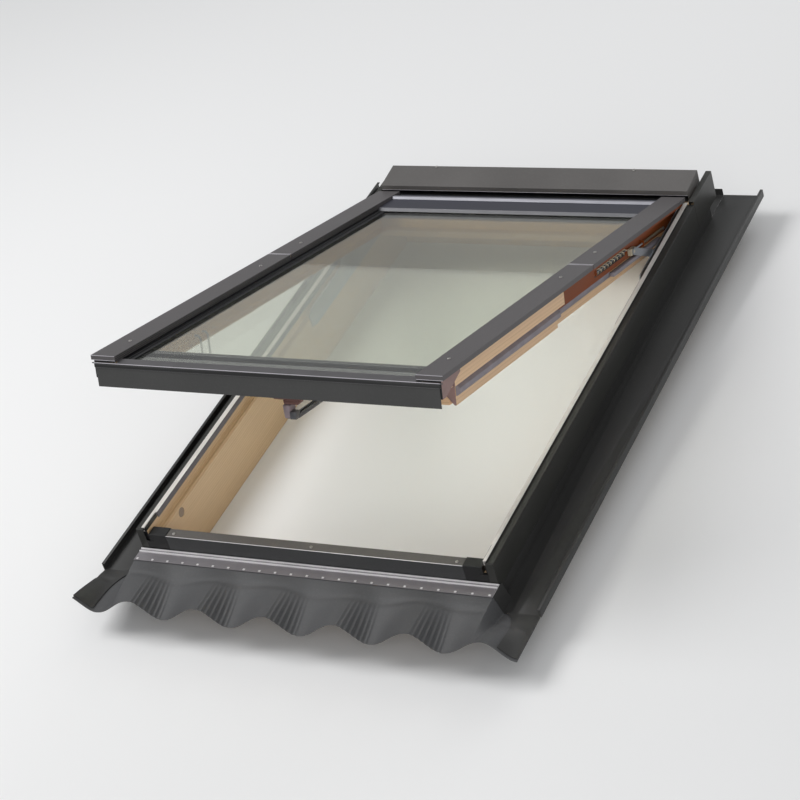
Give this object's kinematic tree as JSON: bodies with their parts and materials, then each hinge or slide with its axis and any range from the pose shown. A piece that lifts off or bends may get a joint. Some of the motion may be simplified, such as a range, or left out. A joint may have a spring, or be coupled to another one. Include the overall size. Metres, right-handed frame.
{
  "type": "roof skylight",
  "caption": "Timber roof window with grey metal covers, held open: the sash hangs from the head on side arms and also turns over at mid height for cleaning.",
  "frame": {"origin": "middle of the four batten screws, on the underside of the fixing angles", "axes": "+X to the right across the roof, +Y up the slope, +Z square out of the roof"},
  "size_m": [0.9588, 1.48, 0.5457],
  "materials": {
    "pine": "clear lacquer over pine",
    "plug_wood": "end-grain plug",
    "cover_paint": "dark grey satin lacquer",
    "bright_aluminium": "mill",
    "flashing_paint": "dark grey lacquer",
    "apron_paint": "matt grey lacquer on pleated sheet",
    "seal_rubber": "grey seal",
    "bead_rubber": "black seal",
    "black_plastic": "matt",
    "cap_plastic": "brown moulding",
    "arm_paint": "brown paint",
    "zinc_steel": "zinc plated",
    "spring_steel": "oiled",
    "shoe_plastic": "plain",
    "clear_glass": "clear",
    "screw_steel": "dark",
    "case_metal": "die cast",
    "lever_paint": "satin"
  },
  "bodies": {
    "frame": {"jamb_left": "pine", "jamb_right": "pine", "frame_head": "pine", "frame_sill": "pine", "lock_keeper": "zinc_steel", "jamb_plugs": "plug_wood", "mounting_angles": "zinc_steel", "side_cover_left": "cover_paint", "side_cover_right": "cover_paint", "upper_side_covers": "cover_paint", "edge_trims": "bright_aluminium", "frame_seals": "seal_rubber", "bottom_cover": "cover_paint", "corner_blocks": "black_plastic", "sill_strip": "bright_aluminium", "apron": "apron_paint", "gutter_left": "flashing_paint", "gutter_right": "flashing_paint", "head_flashing": "flashing_paint", "hood": "cover_paint", "frame_screws": "screw_steel", "hinge_plate_left": "zinc_steel", "hinge_plate_right": "zinc_steel"},
    "arms": {"arm_left": "arm_paint", "arm_right": "arm_paint", "pivot_plate_left": "arm_paint", "pivot_plate_right": "arm_paint", "arm_cover_left": "cover_paint", "arm_cover_right": "cover_paint", "spring_left": "spring_steel", "spring_right": "spring_steel", "arm_screws": "screw_steel"},
    "links": {"link_left": "zinc_steel", "link_right": "zinc_steel"},
    "shoes": {"shoe_left": "shoe_plastic", "shoe_right": "shoe_plastic", "pull_rods": "zinc_steel"},
    "sash": {"stile_left": "pine", "stile_right": "pine", "sash_head": "pine", "sash_foot": "pine", "outer_pane": "clear_glass", "inner_pane": "clear_glass", "pane_spacer": "black_plastic", "glazing_bead": "bead_rubber", "sash_cover_left": "cover_paint", "sash_cover_right": "cover_paint", "front_cover": "cover_paint", "glazing_clamp": "bright_aluminium", "top_profile": "bright_aluminium", "corner_caps": "cap_plastic", "side_gaskets": "seal_rubber", "pivot_sliders": "zinc_steel", "lock_case": "case_metal", "handle_base": "cap_plastic", "wire_bail": "zinc_steel", "sash_screws": "screw_steel"},
    "lever": {"handle_lever": "lever_paint"},
    "bolt": {"lock_bolt": "zinc_steel"}
  },
  "joints": [
    {"name": "top_hinge", "type": "hinge", "parent": "frame", "child": "arms", "pos_m": [0, 0.5427, 0.073], "axis": [-1, 0, 0], "range_deg": [-18.7, 16.3], "deforming": ["spring_left", "spring_right"]},
    {"name": "link_turn", "type": "hinge", "parent": "frame", "child": "links", "pos_m": [0, 0.4001, 0.073], "axis": [-1, 0, 0], "range_deg": [-37.5, 32.7]},
    {"name": "shoe_turn", "type": "hinge", "parent": "links", "child": "shoes", "pos_m": [0, 0.28682, 0.15961], "axis": [-1, 0, 0], "range_deg": [-16.4, 18.8]},
    {"name": "centre_pivot", "type": "hinge", "parent": "arms", "child": "sash", "pos_m": [0, 0.05884, 0.28692], "axis": [-1, 0, 0], "range_deg": [0, 140]},
    {"name": "handle_turn", "type": "hinge", "parent": "sash", "child": "lever", "pos_m": [0, -0.50341, 0.38275], "axis": [0, 0.3206, 0.9472], "range_deg": [0, 90]},
    {"name": "bolt_slide", "type": "slide", "parent": "sash", "child": "bolt", "axis": [0, -0.9472, 0.3206], "range_m": [0, 0.0101]}
  ],
  "couplings": [
    {"joint": "link_turn", "follows": "top_hinge", "ratio": 2},
    {"joint": "shoe_turn", "follows": "top_hinge", "ratio": -1},
    {"joint": "bolt_slide", "follows": "handle_turn", "m_per_rad": 0.006366}
  ]
}
